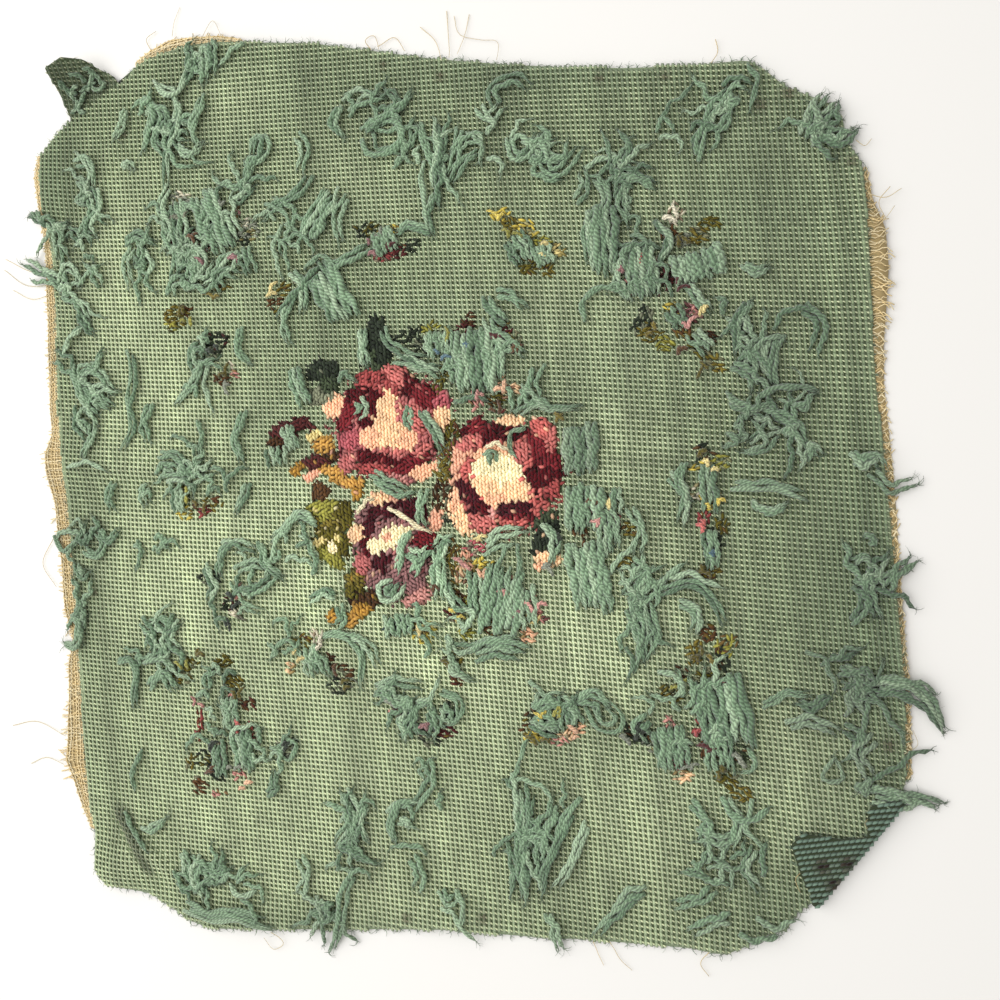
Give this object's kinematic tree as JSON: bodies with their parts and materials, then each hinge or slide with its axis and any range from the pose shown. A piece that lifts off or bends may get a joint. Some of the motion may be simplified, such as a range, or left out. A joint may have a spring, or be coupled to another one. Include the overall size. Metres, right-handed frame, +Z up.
{
  "type": "needlepoint canvas panel",
  "caption": "Worked wool needlepoint seat panel on canvas, lying reverse side up, with a rose bunch, loose yarn ends, frayed margins, a curled corner and a folded corner.",
  "frame": {"origin": "on the underside near the middle of the panel, where it rests on the table", "axes": "+Z up off the table, +X towards the edge nearest the camera, +Y along the panel's width"},
  "size_m": [0.4822, 0.4882, 0.0187],
  "materials": {
    "ground_wool": "matt wool yarn",
    "bare_canvas": "bare cotton double-thread canvas, golden tan, frayed",
    "rose_wool": "matt wool yarn",
    "leaf_dark_wool": "matt wool yarn",
    "leaf_maroon_wool": "matt wool yarn",
    "leaf_mustard_wool": "matt wool yarn",
    "leaf_olive_wool": "matt wool yarn",
    "leaf_brown_wool": "matt wool yarn",
    "loose_yarn": "matt wool yarn"
  },
  "bodies": {
    "root": {"canvas_panel": "ground_wool", "floats_above_rose": "loose_yarn", "floats_below_rose": "loose_yarn", "floats_bud_top": "loose_yarn", "floats_left_of_centre": "loose_yarn", "floats_side_lower": "loose_yarn", "floats_side_middle": "loose_yarn", "floats_side_upper": "loose_yarn", "floats_spray_low_left": "loose_yarn", "floats_spray_right_a": "loose_yarn", "floats_spray_right_b": "loose_yarn", "floats_spray_top_left": "loose_yarn", "floats_spray_top_right": "loose_yarn", "floats_top_left_inner": "loose_yarn", "floats_top_right_inner": "loose_yarn", "floats_top_right_row": "loose_yarn", "leaf_black": "leaf_dark_wool", "leaf_brown": "leaf_brown_wool", "leaf_dark_left": "leaf_dark_wool", "leaf_dark_upper": "leaf_dark_wool", "leaf_maroon": "leaf_maroon_wool", "leaf_mustard": "leaf_mustard_wool", "leaf_olive": "leaf_olive_wool", "margin_left": "bare_canvas", "margin_right": "bare_canvas", "margin_top": "bare_canvas", "rose_lower": "rose_wool", "rose_right": "rose_wool", "rose_upper": "rose_wool", "tails_bottom_edge": "loose_yarn", "tails_bottom_left": "loose_yarn", "tails_corner_top_right": "loose_yarn", "tails_left_chain": "loose_yarn", "tails_left_edge": "loose_yarn", "tails_left_edge_high": "loose_yarn", "tails_left_loop": "loose_yarn", "tails_left_low": "loose_yarn", "tails_left_middle": "loose_yarn", "tails_left_spray": "loose_yarn", "tails_low_left": "loose_yarn", "tails_low_middle": "loose_yarn", "tails_low_right": "loose_yarn", "tails_low_spray": "loose_yarn", "tails_right_crease": "loose_yarn", "tails_right_edge": "loose_yarn", "tails_right_long": "loose_yarn", "tails_right_low": "loose_yarn", "tails_right_of_centre": "loose_yarn", "tails_right_top_edge": "loose_yarn", "tails_right_upper": "loose_yarn", "tails_spray_left": "loose_yarn", "tails_spray_low": "loose_yarn", "tails_spray_right": "loose_yarn", "tails_top_arch": "loose_yarn", "tails_top_bundle": "loose_yarn", "tails_top_curls": "loose_yarn", "tails_top_hooks": "loose_yarn", "tails_top_loops": "loose_yarn", "tails_top_middle": "loose_yarn"}
  },
  "joints": []
}
